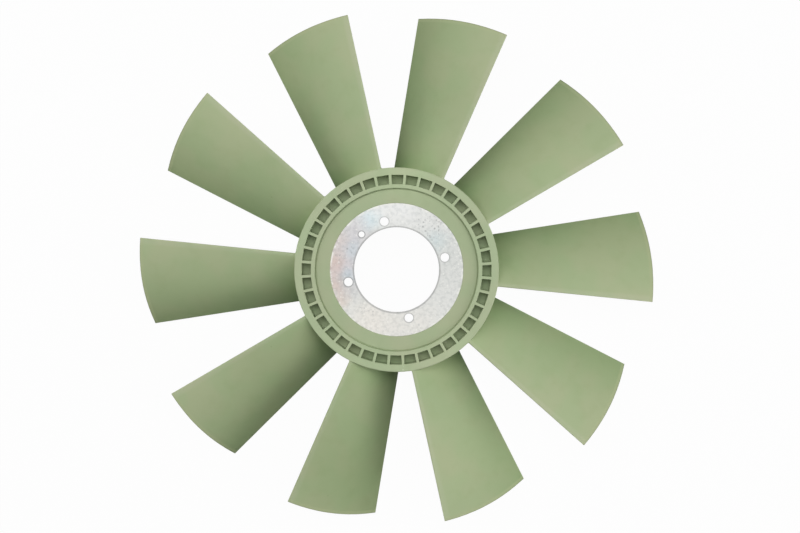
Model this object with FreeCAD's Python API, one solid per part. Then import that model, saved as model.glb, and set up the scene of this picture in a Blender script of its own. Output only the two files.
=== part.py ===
import FreeCAD, Part
import math
import os

from FreeCAD import Vector

# Axial fan impeller: one plastic moulding (hub ring, web, ten cambered blades)
# moulded round a zinc plated steel insert plate that bolts to the fan drive.
# Frame: +Z is the fan axis and points to the inlet side. The origin is the centre
# of the pilot bore in the insert's back face, which is the mounting face.

# Overall sizes, mm
tip_radius = 310.0
hub_radius = 123.0
hub_depth = 54.0

# Steel insert plate; its radius is measured over the corners between the flats
insert_thickness = 4.0
insert_radius = 93.0
bore_radius = 51.25
bolt_circle_radius = 60.0
bolt_count = 4
bolt_hole_radius = 5.25
bolt_start_angle = 14.3
locating_hole_radius = 3.6
locating_hole_angle = 134.7
seat_clearance = 0.5
flat_count = 12

# Web that grips the insert, with a sunk slope round it at the foot of the ring
web_opening_radius = 80.4
front_lip = 1.5
back_lip = 3.0
web_set_back = 3.0
lip_chamfer = 0.5
foot_slope_width = 2.2
foot_slope_depth = 1.1

# Hub ring with its moulding pockets
outer_wall = 8.7
inner_wall = 4.95
pocket_width = 11.2
pocket_count = 40
pocket_phase = 4.0
rib_thickness = 3.2
front_pocket_depth = 13.0
diaphragm = 4.0
pocket_draft = 1.5
rim_edge_chamfer = 0.8
ring_edge_chamfer = 0.6
gusset_count = 10
gusset_thickness = 3.0
gusset_depth = 26.0
gusset_inset = 4.0

# Blades, seen from the inlet: both edges are straight lines in plan
blade_count = 10
blade_depth = 52.0
leading_direction = -5.70
leading_offset = 8.04
trailing_direction = 8.73
trailing_offset = 23.2
leading_set_back = 1.0
root_fillet_radius = 2.8

# Blade section at the root and at the tip: edge thicknesses, wall at the two
# inner poles, and the camber angles at the leading and trailing edge
root_section = dict(nose=2.8, front=7.5, rear=4.6, tail=2.0, leading=14.0, trailing=19.5)
tip_section = dict(nose=2.0, front=4.2, rear=2.8, tail=1.5, leading=13.5, trailing=12.5)
front_pole_share = 0.40
rear_pole_share = 0.35
outline_shares = (0.0, 0.2, 0.4, 0.6, 0.8, 1.0)
edge_facets = 3
fillet_facets = 2

# How far one form runs into the next before they are joined
overlap = 2.5
fillet_sink = 0.4

# Levels and radii that follow from the sizes above
axis = Vector(0, 0, 1)
centre = Vector(0, 0, 0)
web_front = insert_thickness + front_lip
web_back = -back_lip
rim_front = web_front + web_set_back
hub_back = rim_front - hub_depth
pocket_outer = hub_radius - outer_wall
pocket_inner = pocket_outer - pocket_width
ring_inner = pocket_inner - inner_wall
blade_front = rim_front - leading_set_back
blade_back = rim_front - blade_depth
seat_radius = web_opening_radius - seat_clearance
slope_inner = ring_inner - foot_slope_width
slope_floor = web_front - foot_slope_depth
gusset_sink = min(back_lip, inner_wall) / 2


def slope_of(degrees):
    return math.tan(math.radians(degrees))


def on_circle(radius, degrees, z):
    angle = math.radians(degrees)
    return Vector(radius * math.cos(angle), radius * math.sin(angle), z)


def revolve(points):
    """Closed outline of (radius, z) points turned round the axis."""
    corners = [Vector(r, 0, z) for r, z in points]
    outline = Part.Face(Part.makePolygon(corners + corners[:1]))
    return outline.revolve(centre, axis, 360)


def cylinder(radius, low, high):
    return Part.makeCylinder(radius, high - low, Vector(0, 0, low))


def turned(shape, degrees):
    copy = shape.copy()
    copy.rotate(centre, axis, degrees)
    return copy


# Blade geometry

def edge_line(x, direction, offset):
    """Y of a straight blade edge where it crosses the plane at x."""
    angle = math.radians(direction)
    foot_x = -math.sin(angle) * offset
    foot_y = math.cos(angle) * offset
    return foot_y + (x - foot_x) * math.tan(angle)


def arc_points(middle, start, end):
    """Points over a rounded edge, from one radius vector clockwise to the other."""
    radius = start.Length
    first = math.atan2(start.z, start.y)
    last = math.atan2(end.z, end.y)
    if last > first:
        last -= 2 * math.pi
    points = []
    for step in range(edge_facets + 1):
        angle = first + (last - first) * step / edge_facets
        points.append(middle + Vector(0, radius * math.cos(angle), radius * math.sin(angle)))
    return points


def blade_section(x, nose, front, rear, tail, leading, trailing):
    """Poles of the two faces and points of the two rounded edges, in the plane at x."""
    nose_radius = nose / 2
    tail_radius = tail / 2
    leading_y = edge_line(x, leading_direction, -leading_offset)
    trailing_y = edge_line(x, trailing_direction, trailing_offset)
    start = Vector(x, leading_y + nose_radius, blade_front - nose_radius)
    end = Vector(x, trailing_y - tail_radius, blade_back + tail_radius)
    chord = (end - start).Length
    along = (end - start).normalize()
    above = Vector(0, -along.z, along.y)
    front_run = front_pole_share * chord
    rear_run = rear_pole_share * chord

    upper_start = slope_of(leading)
    lower_start = upper_start - (front - nose) / front_run
    upper_end = -slope_of(trailing)
    lower_end = upper_end + (rear - tail) / rear_run

    def square_to(slope, radius):
        return (above - along * slope).normalize() * radius

    upper = [start + square_to(upper_start, nose_radius)]
    upper.append(upper[0] + (along + above * upper_start) * front_run)
    upper_tail = end + square_to(upper_end, tail_radius)
    upper.append(upper_tail - (along + above * upper_end) * rear_run)
    upper.append(upper_tail)

    lower = [start - square_to(lower_start, nose_radius)]
    lower.append(lower[0] + (along + above * lower_start) * front_run)
    lower_tail = end - square_to(lower_end, tail_radius)
    lower.append(lower_tail - (along + above * lower_end) * rear_run)
    lower.append(lower_tail)

    tail_points = arc_points(end, upper[3] - end, lower[3] - end)
    nose_points = arc_points(start, lower[0] - start, upper[0] - start)
    return upper, tail_points, lower[::-1], nose_points


def bezier_edge(poles):
    curve = Part.BezierCurve()
    curve.setPoles(poles)
    return curve.toShape()


def section_wire(parts):
    upper, tail_points, lower, nose_points = parts
    tail_edges = Part.makePolygon(tail_points).Edges
    nose_edges = Part.makePolygon(nose_points).Edges
    return Part.Wire([bezier_edge(upper)] + tail_edges + [bezier_edge(lower)] + nose_edges)


def bezier_point(poles, share):
    rest = 1 - share
    point = poles[0] * rest ** 3 + poles[1] * (3 * rest * rest * share)
    return point + poles[2] * (3 * rest * share * share) + poles[3] * share ** 3


def outline_points(parts):
    """Points once round a section: over the top, round the tail, back below, round the nose."""
    upper, tail_points, lower, nose_points = parts
    points = [bezier_point(upper, share) for share in outline_shares]
    points += tail_points[1:]
    points += [bezier_point(lower, share) for share in outline_shares[1:]]
    points += nose_points[1:-1]
    return points


def meet_cylinder(first, second, radius):
    """Where the line from first to second crosses the hub's cylinder."""
    run = second - first
    a = run.x ** 2 + run.y ** 2
    b = first.x * run.x + first.y * run.y
    c = first.x ** 2 + first.y ** 2 - radius ** 2
    share = (-b + math.sqrt(b * b - a * c)) / a
    return first + run * share


def root_fillet(inner_parts, outer_parts):
    """Concave band that runs once round the blade root, on the hub's outer face."""
    inner = outline_points(inner_parts)
    outer = outline_points(outer_parts)
    feet = [meet_cylinder(a, b, hub_radius) for a, b in zip(inner, outer)]
    reach = root_fillet_radius - fillet_sink
    profiles = []
    for index, foot in enumerate(feet):
        before = feet[index - 1]
        after = feet[(index + 1) % len(feet)]
        radial = Vector(foot.x, foot.y, 0).normalize()
        run = (after - foot).normalize() + (foot - before).normalize()
        away = radial.cross(run).normalize()
        out = (outer[index] - inner[index]).normalize()
        corner = foot - away * fillet_sink - out * overlap
        points = [corner, foot + away * reach - out * overlap]
        for step in range(fillet_facets + 1):
            angle = math.radians(90.0 * step / fillet_facets)
            across = reach - root_fillet_radius * math.sin(angle)
            up = reach - root_fillet_radius * math.cos(angle)
            points.append(foot + away * across + out * up)
        profiles.append(Part.makePolygon(points + points[:1]))
    return Part.makeLoft(profiles + profiles[:1], True, True)


def blade():
    """One blade pointing along +X, from inside the hub wall to the tip cylinder."""
    root = blade_section(pocket_inner, **root_section)
    tip = blade_section(tip_radius + overlap, **tip_section)
    body = Part.makeLoft([section_wire(root), section_wire(tip)], True, True)
    body = body.fuse(root_fillet(root, tip))
    swept = cylinder(tip_radius, hub_back, rim_front)
    return body.common(swept.cut(cylinder(hub_radius - overlap, hub_back, rim_front)))


# Hub ring and web

def ring_and_web():
    """Hub ring and web, turned from one outline with its broken edges."""
    return revolve([
        (ring_inner, rim_front - ring_edge_chamfer),
        (ring_inner + ring_edge_chamfer, rim_front),
        (hub_radius - rim_edge_chamfer, rim_front),
        (hub_radius, rim_front - rim_edge_chamfer),
        (hub_radius, hub_back),
        (ring_inner, hub_back),
        (ring_inner, web_back),
        (web_opening_radius, web_back),
        (web_opening_radius, web_front - lip_chamfer),
        (web_opening_radius + lip_chamfer, web_front),
        (slope_inner, web_front),
        (ring_inner, slope_floor),
    ])


def pocket_outline(z, grown):
    """Four-cornered pocket outline at one level, grown by this much on every side."""
    half_pitch = math.pi / pocket_count
    half_rib = rib_thickness / 2 - grown
    corners = []
    for radius, side in ((pocket_inner - grown, 1), (pocket_outer + grown, 1),
                         (pocket_outer + grown, -1), (pocket_inner - grown, -1)):
        half_angle = half_pitch - math.asin(half_rib / radius)
        corners.append(Vector(radius * math.cos(half_angle), side * radius * math.sin(half_angle), z))
    return Part.makePolygon(corners + corners[:1])


def pockets(mouth, floor):
    """Ring of drafted pockets that open at the level of the mouth."""
    draft = slope_of(pocket_draft)
    above_mouth = mouth + math.copysign(overlap, mouth - floor)
    at_floor = pocket_outline(floor, -draft * abs(mouth - floor))
    single = Part.makeLoft([at_floor, pocket_outline(above_mouth, draft * overlap)], True, True)
    pitch = 360 / pocket_count
    return [turned(single, pocket_phase + (number + 0.5) * pitch) for number in range(pocket_count)]


def gusset():
    """Three-cornered rib between the back of the web and the ring's inner wall."""
    inner = web_opening_radius + gusset_inset
    outer = ring_inner + gusset_sink
    half = gusset_thickness / 2
    corners = [
        Vector(inner, -half, web_back),
        Vector(inner, -half, web_back + gusset_sink),
        Vector(outer, -half, web_back + gusset_sink),
        Vector(outer, -half, web_back - gusset_depth),
        Vector(ring_inner, -half, web_back - gusset_depth),
    ]
    return Part.Face(Part.makePolygon(corners + corners[:1])).extrude(Vector(0, gusset_thickness, 0))


# Steel insert

def through_hole(radius, degrees):
    place = on_circle(bolt_circle_radius, degrees, -overlap)
    return Part.makeCylinder(radius, insert_thickness + 2 * overlap, place)


def flat_sided_blank():
    """Prism with the flats of the plate's hidden edge, which stop it turning in the plastic."""
    pitch = 360 / flat_count
    corners = [on_circle(insert_radius, (number + 0.5) * pitch, -overlap) for number in range(flat_count)]
    outline = Part.Face(Part.makePolygon(corners + corners[:1]))
    return outline.extrude(axis * (insert_thickness + 2 * overlap))


def insert_plate():
    """The plate. Its back face is split where the open seat ends and the gripped rim begins."""
    disc = revolve([
        (bore_radius, 0),
        (seat_radius, 0),
        (insert_radius + overlap, 0),
        (insert_radius + overlap, insert_thickness),
        (bore_radius, insert_thickness),
    ])
    cuts = [through_hole(locating_hole_radius, locating_hole_angle)]
    for number in range(bolt_count):
        cuts.append(through_hole(bolt_hole_radius, bolt_start_angle + number * 360 / bolt_count))
    return disc.common(flat_sided_blank()).cut(Part.Compound(cuts))


def moulding(insert):
    """The one plastic piece: ring, web, gussets and blades, moulded round the insert."""
    body = ring_and_web()
    pitch = 360 / gusset_count
    gussets = [turned(gusset(), pocket_phase + number * pitch) for number in range(gusset_count)]
    single = blade()
    blades = [turned(single, number * 360 / blade_count) for number in range(blade_count)]
    body = body.multiFuse(gussets + blades)
    body = body.cut(Part.Compound(pockets(rim_front, rim_front - front_pocket_depth)))
    body = body.cut(Part.Compound(pockets(hub_back, rim_front - front_pocket_depth - diaphragm)))
    return body.cut(insert).removeSplitter()


os.makedirs("parts", exist_ok=True)
steel_insert = insert_plate()
fan_moulding = moulding(steel_insert)
steel_insert.exportStep("parts/steel_insert.step")
fan_moulding.exportStep("parts/fan_moulding.step")
for name, shape in (("steel_insert", steel_insert), ("fan_moulding", fan_moulding)):
    print(name, shape.isValid(), len(shape.Solids), "solids", len(shape.Faces), "faces",
          round(shape.Volume / 1000, 1), "cm3", shape.BoundBox)
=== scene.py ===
import bpy
import math
from mathutils import Matrix, Vector


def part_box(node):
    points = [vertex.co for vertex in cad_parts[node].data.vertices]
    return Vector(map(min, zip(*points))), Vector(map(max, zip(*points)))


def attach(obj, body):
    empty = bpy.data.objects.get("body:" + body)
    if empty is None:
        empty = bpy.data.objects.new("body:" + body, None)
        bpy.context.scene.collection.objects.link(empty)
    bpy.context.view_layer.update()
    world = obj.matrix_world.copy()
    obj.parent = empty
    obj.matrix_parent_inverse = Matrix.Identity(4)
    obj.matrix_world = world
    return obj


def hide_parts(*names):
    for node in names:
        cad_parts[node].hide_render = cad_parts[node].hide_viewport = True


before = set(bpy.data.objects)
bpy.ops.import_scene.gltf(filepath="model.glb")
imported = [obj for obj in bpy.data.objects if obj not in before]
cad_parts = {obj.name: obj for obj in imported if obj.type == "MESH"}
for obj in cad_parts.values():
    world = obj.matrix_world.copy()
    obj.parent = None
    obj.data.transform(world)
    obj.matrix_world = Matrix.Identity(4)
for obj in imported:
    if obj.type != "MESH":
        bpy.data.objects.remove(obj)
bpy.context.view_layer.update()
print("frame loaded:", ", ".join(sorted(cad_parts)))

mm = 0.001
mergeGap = 0.00001        # vertices closer than this are one
smallestSpeck = 0.35      # least share of its size that a speck keeps


# Small helpers for edit work and nodes

def deselectAll():
    if bpy.context.object and bpy.context.object.mode != "OBJECT":
        bpy.ops.object.mode_set(mode="OBJECT")
    bpy.ops.object.select_all(action="DESELECT")


def pick(piece):
    deselectAll()
    piece.select_set(True)
    bpy.context.view_layer.objects.active = piece


def copyOfNode(node, name):  # a merged copy of a CAD node, which the piece then stands for
    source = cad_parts[node]
    piece = source.copy()
    piece.data = source.data.copy()
    piece.name = name
    piece.data.name = name
    piece.parent = None
    piece.matrix_world = Matrix.Identity(4)
    bpy.context.scene.collection.objects.link(piece)
    pick(piece)
    bpy.ops.object.mode_set(mode="EDIT")
    bpy.ops.mesh.select_all(action="SELECT")
    bpy.ops.mesh.remove_doubles(threshold=mergeGap)
    bpy.ops.object.mode_set(mode="OBJECT")
    if piece.data.has_custom_normals:
        bpy.ops.mesh.customdata_custom_splitnormals_clear()
    return piece


def finishEdges(piece, values):  # flat faces made whole, edges rounded, smooth shading evened out
    pick(piece)
    bpy.ops.object.mode_set(mode="EDIT")
    bpy.ops.mesh.select_all(action="SELECT")
    bpy.ops.mesh.dissolve_limited(angle_limit=math.radians(values["flatAngle"]))
    bpy.ops.object.mode_set(mode="OBJECT")
    edges = piece.modifiers.new("roundEdges", "BEVEL")
    edges.width = values["edgeRadius"]
    edges.segments = values["edgeSegments"]
    edges.limit_method = "ANGLE"
    edges.angle_limit = math.radians(values["edgeAngle"])
    edges.use_clamp_overlap = True
    bpy.ops.object.modifier_apply(modifier=edges.name)
    bpy.ops.object.shade_smooth_by_angle(angle=math.radians(values["smoothAngle"]))
    even = piece.modifiers.new("evenNormals", "WEIGHTED_NORMAL")
    even.keep_sharp = True
    even.weight = 100
    bpy.ops.object.modifier_apply(modifier=even.name)


def addNode(tree, kind, inputs, **settings):  # an input is a value, or another node's output
    node = tree.nodes.new(kind)
    for key, value in settings.items():
        setattr(node, key, value)
    for key, value in inputs.items():
        if isinstance(value, bpy.types.NodeSocket):
            tree.links.new(value, node.inputs[key])
        else:
            node.inputs[key].default_value = value
    return node


def addMath(tree, operation, first, second=0.0):
    return addNode(tree, "ShaderNodeMath", {0: first, 1: second}, operation=operation).outputs[0]


def addVectorMath(tree, operation, inputs):
    return addNode(tree, "ShaderNodeVectorMath", inputs, operation=operation).outputs


def addMix(tree, mask, first, second, blend="MIX"):
    node = tree.nodes.new("ShaderNodeMix")
    node.data_type = "RGBA"
    node.blend_type = blend
    for key, value in ((0, mask), (6, first), (7, second)):
        if isinstance(value, bpy.types.NodeSocket):
            tree.links.new(value, node.inputs[key])
        elif key:
            node.inputs[key].default_value = (*value, 1)
        else:
            node.inputs[key].default_value = value
    return node.outputs[2]


def share(tree, mask, amount):
    return addMath(tree, "MULTIPLY", mask, amount)


def tint(tree, mask, color, tone):  # colour times the tone, where the mask is
    return addMix(tree, mask, color, tone, "MULTIPLY")


def makeFade(tree, value, low, high, start, end):  # eased ramp from start at low to end at high
    ramp = addNode(tree, "ShaderNodeMapRange", {0: value, 1: low, 2: high, 3: start, 4: end})
    ramp.interpolation_type = "SMOOTHSTEP"
    return ramp.outputs[0]


def startMaterial(name):
    material = bpy.data.materials.new(name)
    material.use_nodes = True
    tree = material.node_tree
    shader = tree.nodes["Principled BSDF"]
    place = tree.nodes.new("ShaderNodeTexCoord")
    return material, tree, shader, place.outputs["Object"]


def wear(piece, material):
    piece.data.materials.clear()
    piece.data.materials.append(material)


# Effects that both finishes use, as node groups that give a mask or a height

def startGroup(name, inputs, output):
    tree = bpy.data.node_groups.new(name, "ShaderNodeTree")
    for label, value in inputs.items():
        kind = "NodeSocketFloat" if isinstance(value, float) else "NodeSocketVector"
        socket = tree.interface.new_socket(name=label, in_out="INPUT", socket_type=kind)
        socket.default_value = value
    tree.interface.new_socket(name=output, in_out="OUTPUT", socket_type="NodeSocketFloat")
    given = tree.nodes.new("NodeGroupInput").outputs
    return tree, given, tree.nodes.new("NodeGroupOutput").inputs[output]


def makePatches():  # soft cloudy patches
    tree, given, mask = startGroup("softPatches", {
        "Vector": (0, 0, 0), "Scale": 30.0, "Detail": 2.0, "Low": 0.4, "High": 0.6,
    }, "Mask")
    cloud = addNode(tree, "ShaderNodeTexNoise", {
        "Vector": given["Vector"], "Scale": given["Scale"], "Detail": given["Detail"],
    })
    tree.links.new(makeFade(tree, cloud.outputs[0], given["Low"], given["High"], 0.0, 1.0), mask)
    return tree


def makeSpecks():  # scattered round specks of uneven size
    tree, given, mask = startGroup("looseSpecks", {
        "Vector": (0, 0, 0), "Scale": 200.0, "Size": 0.2, "Share": 0.3,
    }, "Mask")
    cells = addNode(tree, "ShaderNodeTexVoronoi", {"Vector": given["Vector"], "Scale": given["Scale"]})
    chance = addNode(tree, "ShaderNodeSeparateColor", {0: cells.outputs["Color"]})
    reach = addMath(tree, "MULTIPLY", given["Size"], addMath(tree, "ADD", chance.outputs[1], smallestSpeck))
    spot = makeFade(tree, cells.outputs["Distance"], 0.0, reach, 1.0, 0.0)
    here = addMath(tree, "LESS_THAN", chance.outputs[0], given["Share"])
    tree.links.new(addMath(tree, "MULTIPLY", spot, here), mask)
    return tree


def makeRing():  # band round an upright axis
    tree, given, mask = startGroup("roundBand", {
        "Vector": (0, 0, 0), "Centre": (0, 0, 0), "Radius": 0.1, "Half Width": 0.001, "Fade": 0.001,
    }, "Mask")
    run = addVectorMath(tree, "SUBTRACT", {0: given["Vector"], 1: given["Centre"]})[0]
    flat = addVectorMath(tree, "MULTIPLY", {0: run, 1: (1, 1, 0)})[0]
    length = addVectorMath(tree, "LENGTH", {0: flat})["Value"]
    off = addMath(tree, "ABSOLUTE", addMath(tree, "SUBTRACT", length, given["Radius"]))
    edge = addMath(tree, "ADD", given["Half Width"], given["Fade"])
    tree.links.new(makeFade(tree, off, given["Half Width"], edge, 1.0, 0.0), mask)
    return tree


def makeRaggedPatch():  # one ragged patch round a place
    tree, given, mask = startGroup("raggedPatch", {
        "Vector": (0, 0, 0), "Place": (0, 0, 0), "Reach": 0.03, "Ragged": 0.02,
    }, "Mask")
    cloud = addNode(tree, "ShaderNodeTexNoise", {"Vector": given["Vector"], "Scale": 60.0, "Detail": 3.0})
    shift = addVectorMath(tree, "SUBTRACT", {0: cloud.outputs["Color"], 1: (0.5, 0.5, 0.5)})[0]
    moved = addVectorMath(tree, "SCALE", {0: shift, "Scale": given["Ragged"]})[0]
    place = addVectorMath(tree, "ADD", {0: given["Vector"], 1: moved})[0]
    far = addVectorMath(tree, "DISTANCE", {0: place, 1: given["Place"]})["Value"]
    tree.links.new(makeFade(tree, far, 0.0, given["Reach"], 1.0, 0.0), mask)
    return tree


def makeGrain():  # fine uneven surface
    tree, given, height = startGroup("fineGrain", {
        "Vector": (0, 0, 0), "Scale": 900.0, "Wave Share": 0.5,
    }, "Height")
    fine = addNode(tree, "ShaderNodeTexNoise", {
        "Vector": given["Vector"], "Scale": given["Scale"], "Detail": 2.0,
    })
    wide = addNode(tree, "ShaderNodeTexNoise", {
        "Vector": given["Vector"], "Scale": addMath(tree, "MULTIPLY", given["Scale"], 0.1), "Detail": 1.0,
    })
    wave = addMath(tree, "MULTIPLY", wide.outputs[0], given["Wave Share"])
    tree.links.new(addMath(tree, "ADD", fine.outputs[0], wave), height)
    return tree


patches = makePatches()
specks = makeSpecks()
ring = makeRing()
raggedPatchGroup = makeRaggedPatch()
grain = makeGrain()
print("effects done")


def useGroup(tree, group, place, values):
    node = tree.nodes.new("ShaderNodeGroup")
    node.node_tree = group
    tree.links.new(place, node.inputs["Vector"])
    for key, value in values.items():
        node.inputs[key].default_value = value
    return node.outputs[0]


def useBand(tree, place, band, centre=(0, 0, 0)):  # band in mm: radius, half width, fade
    radius, half, fade = band
    return useGroup(tree, ring, place, {
        "Centre": centre, "Radius": radius * mm, "Half Width": half * mm, "Fade": fade * mm,
    })


def useRaggedPatch(tree, place, spot, reach, ragged):  # all in mm
    x, y, z = spot
    return useGroup(tree, raggedPatchGroup, place, {
        "Place": (x * mm, y * mm, z * mm), "Reach": reach * mm, "Ragged": ragged * mm,
    })


# Moulding: green glass-filled nylon

moulding = {
    "green": (0.374, 0.464, 0.264),
    "olive": (0.411, 0.465, 0.280),
    "oliveShares": (0.17, 0.60, 0.25),    # everywhere, in patches, towards the tips
    "oliveRadii": (180 * mm, 260 * mm),
    "drift": {"Scale": 22.0, "Detail": 1.0, "Low": 0.38, "High": 0.62},
    "clouds": {"Scale": 60.0, "Detail": 3.0, "Low": 0.45, "High": 0.75},
    "cloudShare": 0.35,
    "cloudTone": (0.90, 0.92, 0.88),
    "trailingShadeTone": (0.70, 0.765, 0.67),  # painted shade: how much darker the blades are drawn towards the trailing edges, which lie deepest
    "trailingShadeLevels": (8 * mm, -43 * mm),
    # painted shade on the blades next to the hub
    "rootShadeTone": (0.94, 0.96, 0.93),
    "cornerTone": (0.78, 0.84, 0.76),     # painted shade next to the hub, at the trailing edges
    # painted highlight along the noses of the blades
    "noseHighlightTone": (1.08, 1.04, 1.11),
    "noseHighlightLevels": (5.6 * mm, 6.8 * mm),
    "webTone": (0.99, 0.965, 1.03),
    "ringTone": (1.06, 1.045, 1.13),
    "pocketShadeTone": (0.87, 0.88, 0.87),     # painted shade in the pockets, the same in every pocket
    "pocketShadeLevels": (5 * mm, -4 * mm),
    "footShadeColor": (0.190, 0.250, 0.120),   # painted shade: a dark line in the crease at the foot of the step
    "footShadeShare": 0.25,
    "tipColor": (0.430, 0.470, 0.270),
    "tipShare": 0.35,
    "endTone": (0.80, 0.77, 0.80),
    "bands": {                # radius, half width and fade in mm
        "hub": (101, 21.6, 0.4),
        "root": (120, 16, 40),
        "corner": (120, 4, 26),
        "web": (88, 9.8, 0.4),
        "ring": (110.4, 12.2, 0.4),
        "pockets": (108.7, 5.8, 0.3),
        "foot": (97.6, 0.5, 0.8),
        "tip": (307.6, 1.0, 1.5),
        "end": (310.2, 0.6, 0.8),
    },
    # dark and pale places: partly real mottle, partly painted shade (dark) and painted light (pale)
    "darkTone": (0.84, 0.87, 0.82),
    "darkPlaces": (           # x, y, reach in mm, amount
        (-95, -235, 130, 0.9), (-165, -120, 80, 0.5), (-28, -262, 70, 0.5),
        (-160, 118, 60, 0.35), (165, 8, 60, 0.35), (66, 205, 55, 0.35),
    ),
    "paleTone": (1.12, 1.11, 1.10),
    "palePlaces": (
        (10, 122, 75, 0.8), (-56, -104, 60, 0.5), (14, -114, 60, 0.4), (70, -90, 55, 0.6),
        (180, 132, 80, 0.35), (74, -228, 80, 0.35), (-232, -40, 60, 0.3),
    ),
    "placeRagged": 20,        # mm
    "lightSpecks": {"Scale": 150.0, "Size": 0.16, "Share": 0.25},
    "lightSpeck": (0.620, 0.660, 0.530),
    "darkSpecks": {"Scale": 45.0, "Size": 0.06, "Share": 0.3},
    "darkSpeck": (0.230, 0.290, 0.150),
    "darkSpeckShare": 0.6,
    "roughness": (0.50, 0.62),
    "specular": 0.11,
    "grain": {"Scale": 1100.0, "Wave Share": 1.0},
    "grainStrength": 0.5,
    "grainHeight": 0.03 * mm,
    "flatAngle": 0.2,
    "edgeRadius": 0.4 * mm,
    "edgeSegments": 2,
    "edgeAngle": 50.0,
    "smoothAngle": 40.0,
}


def mouldingMaterial():
    material, tree, shader, place = startMaterial("greenNylon")
    bands = {name: useBand(tree, place, band) for name, band in moulding["bands"].items()}
    onBlade = addMath(tree, "SUBTRACT", 1.0, bands["hub"])
    height = addNode(tree, "ShaderNodeSeparateXYZ", {0: place}).outputs[2]

    # green that drifts to olive in patches and towards the tips
    drift = useGroup(tree, patches, place, moulding["drift"])
    flat = addVectorMath(tree, "MULTIPLY", {0: place, 1: (1, 1, 0)})[0]
    radius = addVectorMath(tree, "LENGTH", {0: flat})["Value"]
    near, far = moulding["oliveRadii"]
    always, patchy, outer = moulding["oliveShares"]
    outward = makeFade(tree, radius, near, far, always, always + outer)
    olive = addMath(tree, "ADD", outward, share(tree, drift, patchy))
    color = addMix(tree, olive, moulding["green"], moulding["olive"])
    cloud = useGroup(tree, patches, place, moulding["clouds"])
    color = tint(tree, share(tree, cloud, moulding["cloudShare"]), color, moulding["cloudTone"])

    # blades: painted shade, darker towards the trailing edges and the roots, and a painted highlight, paler
    # at the noses
    # painted shade: the deeper a blade lies, the darker it is drawn
    high, low = moulding["trailingShadeLevels"]
    fall = addNode(tree, "ShaderNodeMapRange", {0: height, 1: high, 2: low, 3: 0.0, 4: 1.0}).outputs[0]
    trailing = addMath(tree, "MULTIPLY", fall, onBlade)
    color = tint(tree, trailing, color, moulding["trailingShadeTone"])
    # painted shade on the blade roots next to the hub
    root = addMath(tree, "MULTIPLY", bands["root"], onBlade)
    color = tint(tree, root, color, moulding["rootShadeTone"])
    # painted shade where the trailing edges meet the hub
    corner = addMath(tree, "MULTIPLY", bands["corner"], trailing)
    color = tint(tree, corner, color, moulding["cornerTone"])
    # painted highlight: paler where the blade noses lie highest
    low, high = moulding["noseHighlightLevels"]
    noseHighlight = addMath(tree, "MULTIPLY", makeFade(tree, height, low, high, 0.0, 1.0), onBlade)
    color = tint(tree, noseHighlight, color, moulding["noseHighlightTone"])

    # hub: web and ring tones, and painted shade in the pockets
    color = tint(tree, bands["web"], color, moulding["webTone"])
    color = tint(tree, bands["ring"], color, moulding["ringTone"])
    high, low = moulding["pocketShadeLevels"]
    deep = makeFade(tree, height, low, high, 1.0, 0.0)
    pocketShade = addMath(tree, "MULTIPLY", deep, bands["pockets"])
    color = tint(tree, pocketShade, color, moulding["pocketShadeTone"])

    # patches of uneven tone, partly real mottle, partly painted shade and painted light
    for kind in ("dark", "pale"):
        for x, y, reach, amount in moulding[kind + "Places"]:
            here = useRaggedPatch(tree, place, (x, y, 0), reach, moulding["placeRagged"])
            color = tint(tree, share(tree, here, amount), color, moulding[kind + "Tone"])

    # painted shade line at the foot of the step, lines at the tips, then specks
    foot = share(tree, bands["foot"], moulding["footShadeShare"])
    color = addMix(tree, foot, color, moulding["footShadeColor"])
    tip = share(tree, bands["tip"], moulding["tipShare"])
    color = addMix(tree, tip, color, moulding["tipColor"])
    color = tint(tree, bands["end"], color, moulding["endTone"])
    light = useGroup(tree, specks, place, moulding["lightSpecks"])
    light = addMath(tree, "MULTIPLY", light, bands["ring"])
    color = addMix(tree, light, color, moulding["lightSpeck"])
    dark = useGroup(tree, specks, place, moulding["darkSpecks"])
    dark = share(tree, dark, moulding["darkSpeckShare"])
    color = addMix(tree, dark, color, moulding["darkSpeck"])

    tree.links.new(color, shader.inputs["Base Color"])
    low, high = moulding["roughness"]
    tree.links.new(makeFade(tree, cloud, 0.0, 1.0, low, high), shader.inputs["Roughness"])
    shader.inputs["Specular IOR Level"].default_value = moulding["specular"]
    bump = addNode(tree, "ShaderNodeBump", {
        "Strength": moulding["grainStrength"], "Distance": moulding["grainHeight"],
        "Height": useGroup(tree, grain, place, moulding["grain"]),
    })
    tree.links.new(bump.outputs[0], shader.inputs["Normal"])
    return material


def makeMoulding():
    piece = copyOfNode("fan_moulding", "fanMoulding")
    finishEdges(piece, moulding)
    wear(piece, mouldingMaterial())
    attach(piece, "root")
    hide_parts("fan_moulding")
    print("moulding done:", len(piece.data.polygons), "faces")


# Insert: bright zinc plated steel plate

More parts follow.
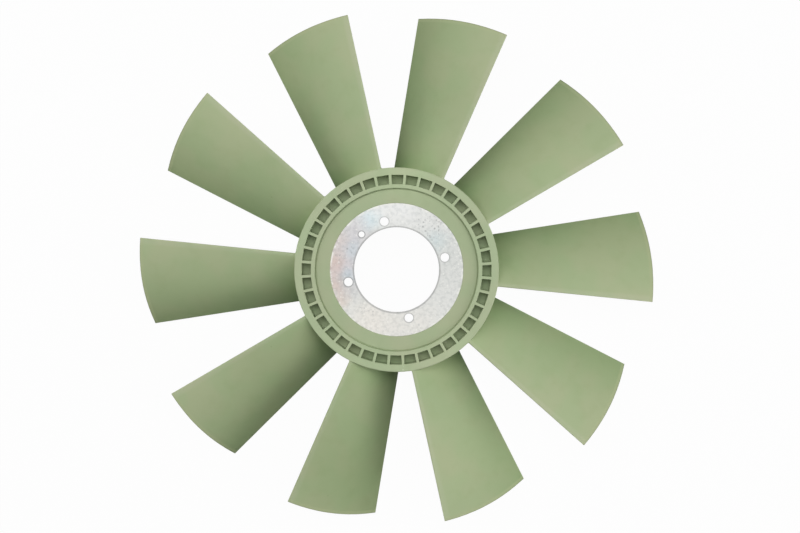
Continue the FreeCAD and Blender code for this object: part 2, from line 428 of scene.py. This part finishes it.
insert = {
    "zinc": (0.745, 0.750, 0.724),
    "dullZinc": (0.676, 0.686, 0.664),
    "clouds": {"Scale": 230.0, "Detail": 4.0, "Low": 0.40, "High": 0.66},
    "tones": {                # what a stain does to the colour under it
        "pink": (1.01, 0.86, 0.78),
        "lilac": (0.90, 0.87, 0.93),
        "blue": (0.87, 0.98, 1.02),
        "pale": (1.13, 1.13, 1.15),
        "warm": (1.10, 1.055, 1.02),
        "dull": (0.94, 0.95, 0.95),
    },
    "stains": (               # tone, x, y, reach in mm, amount
        ("pale", 4, 76, 50, 1.0), ("pale", 48, 46, 40, 0.4), ("warm", -30, -64, 52, 1.0),
        ("warm", 26, -70, 44, 0.6), ("dull", 64, 14, 52, 1.0), ("dull", 50, 38, 34, 0.8),
        ("pale", -34, 68, 30, 0.8), ("dull", -54, -22, 34, 0.8), ("lilac", -64, 4, 54, 1.0),
        ("lilac", -50, 44, 34, 0.7), ("pink", -76, 10, 24, 1.0), ("pink", -72, -16, 22, 0.9),
        ("pink", -68, 36, 18, 0.5), ("pink", -66, -36, 16, 0.7), ("blue", -31, 60, 20, 1.0),
        ("blue", -52, 26, 18, 0.7), ("blue", -60, -8, 16, 1.0), ("blue", 46, 34, 22, 0.6),
    ),
    "stainRagged": 16,        # mm
    "topLevel": 4,            # mm
    "pits": {"Scale": 230.0, "Size": 0.45, "Share": 0.30},
    "pit": (0.460, 0.475, 0.470),
    "pitShare": 0.32,
    "sparks": {"Scale": 430.0, "Size": 0.55, "Share": 0.34},
    "spark": (0.930, 0.930, 0.880),
    "sparkShare": 0.55,
    # painted highlight: a broken bright line along the plate's outer edge
    "rimHighlightBand": (79.4, 0.4, 1.4),          # bands: radius, half width and fade in mm
    "rimHighlightBreaks": {"Scale": 160.0, "Detail": 3.0, "Low": 0.42, "High": 0.60},
    "rimHighlightShare": 0.7,
    "scratched": ((-34, -48, 14), (-64, 24, 22), (40, 52, 30)),   # x, y, reach in mm
    "scratchRagged": 8,       # mm
    "scratchDots": {"Scale": 380.0, "Size": 0.60, "Share": 0.45},
    "edgeGrey": (0.330, 0.335, 0.330),
    # painted dark reflection of the rounded bore edge
    "boreReflectionBand": (51.7, 0.5, 1.5),
    "boreReflectionShare": 0.6,
    "holes": (                # x, y, radius of the grey edge round it, amount; the grey edge is a painted dark reflection
        (-42.2, 42.6, 3.9, 0.8), (58.1, 14.8, 5.6, 0.4), (-14.8, 58.1, 5.6, 0.4),
        (-58.1, -14.8, 5.6, 0.7), (14.8, -58.1, 5.6, 0.5),
    ),
    "holeReflectionEdge": (0.3, 1.0),   # half width and fade in mm
    "roughness": (0.34, 0.52),
    "grain": {"Scale": 420.0, "Wave Share": 1.0},
    "grainStrength": 0.6,
    "grainHeight": 0.05 * mm,
    "flatAngle": 0.2,
    "edgeRadius": 0.35 * mm,
    "edgeSegments": 2,
    "edgeAngle": 50.0,
    "smoothAngle": 40.0,
}


def insertMaterial():
    material, tree, shader, place = startMaterial("zincPlate")
    top = insert["topLevel"]
    cloud = useGroup(tree, patches, place, insert["clouds"])
    color = addMix(tree, cloud, insert["zinc"], insert["dullZinc"])
    for tone, x, y, reach, amount in insert["stains"]:
        here = useRaggedPatch(tree, place, (x, y, top), reach, insert["stainRagged"])
        color = tint(tree, share(tree, here, amount), color, insert["tones"][tone])
    for kind in ("pit", "spark"):
        dots = useGroup(tree, specks, place, insert[kind + "s"])
        color = addMix(tree, share(tree, dots, insert[kind + "Share"]), color, insert[kind])
    # painted highlight: a broken bright line along the plate's outer edge
    rimHighlight = useBand(tree, place, insert["rimHighlightBand"])
    broken = useGroup(tree, patches, place, insert["rimHighlightBreaks"])
    rimHighlight = share(tree, addMath(tree, "MULTIPLY", rimHighlight, broken), insert["rimHighlightShare"])
    color = addMix(tree, rimHighlight, color, insert["spark"])

    # grey where it is scratched, and a painted dark reflection of the rounded edges at the bore and round
    # the holes
    for x, y, reach in insert["scratched"]:
        here = useRaggedPatch(tree, place, (x, y, top), reach, insert["scratchRagged"])
        dots = useGroup(tree, specks, place, insert["scratchDots"])
        color = addMix(tree, addMath(tree, "MULTIPLY", here, dots), color, insert["edgeGrey"])
    boreReflection = share(tree, useBand(tree, place, insert["boreReflectionBand"]), insert["boreReflectionShare"])
    color = addMix(tree, boreReflection, color, insert["edgeGrey"])
    for x, y, radius, amount in insert["holes"]:
        centre = (x * mm, y * mm, top * mm)
        holeReflection = useBand(tree, place, (radius, *insert["holeReflectionEdge"]), centre)
        color = addMix(tree, share(tree, holeReflection, amount), color, insert["edgeGrey"])

    tree.links.new(color, shader.inputs["Base Color"])
    low, high = insert["roughness"]
    tree.links.new(makeFade(tree, cloud, 0.0, 1.0, low, high), shader.inputs["Roughness"])
    shader.inputs["Metallic"].default_value = 1.0
    bump = addNode(tree, "ShaderNodeBump", {
        "Strength": insert["grainStrength"], "Distance": insert["grainHeight"],
        "Height": useGroup(tree, grain, place, insert["grain"]),
    })
    tree.links.new(bump.outputs[0], shader.inputs["Normal"])
    return material


def makeInsert():
    piece = copyOfNode("steel_insert", "steelInsert")
    finishEdges(piece, insert)
    wear(piece, insertMaterial())
    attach(piece, "root")
    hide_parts("steel_insert")
    print("insert done:", len(piece.data.polygons), "faces")


# Camera: above the inlet side, a little towards the top of the picture

camera = {
    "lens": 45.92,
    "sensor": 36.0,
    "shiftUp": -0.0333,       # share of the frame's width
    "place": (0.0049, 0.0735, 1.2311),
    "aim": (0.0041, 0.0362, 0.0085),
}


def makeCamera():
    deselectAll()
    place = Vector(camera["place"])
    back = (place - Vector(camera["aim"])).normalized()
    right = Vector((0, 1, 0)).cross(back).normalized()
    up = back.cross(right)
    turn = Matrix((right, up, back)).transposed()
    bpy.ops.object.camera_add(location=place, rotation=turn.to_euler())
    eye = bpy.context.object
    eye.name = "pictureCamera"
    eye.data.lens = camera["lens"]
    eye.data.sensor_width = camera["sensor"]
    eye.data.shift_y = camera["shiftUp"]
    eye.data.dof.use_dof = False
    bpy.context.scene.camera = eye


# Floor, world and lamps

studio = {
    "floorSize": 12.0,
    "floorDrop": 0.5 * mm,    # the floor lies this far below the part
    "floorColor": (0.6, 0.6, 0.6, 1),
    "floorWhite": 0.97,       # how much of the floor the camera sees as plain white
    "ambient": 0.06,
    "lampDistance": 2.2,
    "lamps": (                # name, azimuth from +X towards +Y, elevation, power, size
        ("topLamp", 90.0, 72.0, 25.0, 2.0),
        ("leftLamp", 150.0, 42.0, 14.0, 1.4),
        ("rightLamp", 0.0, 42.0, 10.4, 1.4),
        ("lowRightLamp", 0.0, 18.0, 7.4, 0.8),
        ("lowFrontLamp", 330.0, 18.0, 10.0, 0.8),
        ("lowLeftLamp", 180.0, 18.0, 8.2, 0.8),
    ),
}


def seenDirectly(tree):  # 1 on camera, glossy and transmission rays
    path = tree.nodes.new("ShaderNodeLightPath")
    straight = addMath(tree, "MAXIMUM", path.outputs["Is Camera Ray"], path.outputs["Is Glossy Ray"])
    return addMath(tree, "MAXIMUM", straight, path.outputs["Is Transmission Ray"])


def makeFloor():
    deselectAll()
    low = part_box("fan_moulding")[0].z - studio["floorDrop"]
    bpy.ops.mesh.primitive_plane_add(size=studio["floorSize"], location=(0, 0, low))
    floor = bpy.context.object
    floor.name = "paleFloor"
    material = bpy.data.materials.new("paleFloor")
    material.use_nodes = True
    tree = material.node_tree
    tree.nodes.remove(tree.nodes["Principled BSDF"])
    matt = addNode(tree, "ShaderNodeBsdfDiffuse", {"Color": studio["floorColor"]})
    white = addNode(tree, "ShaderNodeEmission", {"Strength": 1.0})
    mask = share(tree, seenDirectly(tree), studio["floorWhite"])
    mix = addNode(tree, "ShaderNodeMixShader", {0: mask, 1: matt.outputs[0], 2: white.outputs[0]})
    tree.links.new(mix.outputs[0], tree.nodes["Material Output"].inputs["Surface"])
    wear(floor, material)


def makeWorld():
    world = bpy.data.worlds.new("softStudio")
    bpy.context.scene.world = world
    world.use_nodes = True
    tree = world.node_tree
    soft = tree.nodes["Background"]
    soft.inputs["Color"].default_value = (1, 1, 1, 1)
    soft.inputs["Strength"].default_value = studio["ambient"]
    white = addNode(tree, "ShaderNodeBackground", {"Color": (1, 1, 1, 1), "Strength": 1.0})
    mix = addNode(tree, "ShaderNodeMixShader", {
        0: seenDirectly(tree), 1: soft.outputs[0], 2: white.outputs[0],
    })
    tree.links.new(mix.outputs[0], tree.nodes["World Output"].inputs["Surface"])


def makeLamp(name, azimuth, elevation, power, size):
    deselectAll()
    a, e = math.radians(azimuth), math.radians(elevation)
    place = Vector((math.cos(a) * math.cos(e), math.sin(a) * math.cos(e), math.sin(e)))
    place = place * studio["lampDistance"]
    turn = place.to_track_quat("Z", "Y").to_euler()
    bpy.ops.object.light_add(type="AREA", location=place, rotation=turn)
    lamp = bpy.context.object
    lamp.name = name
    lamp.data.shape = "DISK"
    lamp.data.size = size
    lamp.data.energy = power
    lamp.visible_glossy = False    # the steel mirrors the white room, not the lamps


makeMoulding()
makeInsert()
makeCamera()
makeFloor()
makeWorld()
for lampValues in studio["lamps"]:
    makeLamp(*lampValues)
bpy.context.scene.view_settings.view_transform = "Standard"
print("studio done")
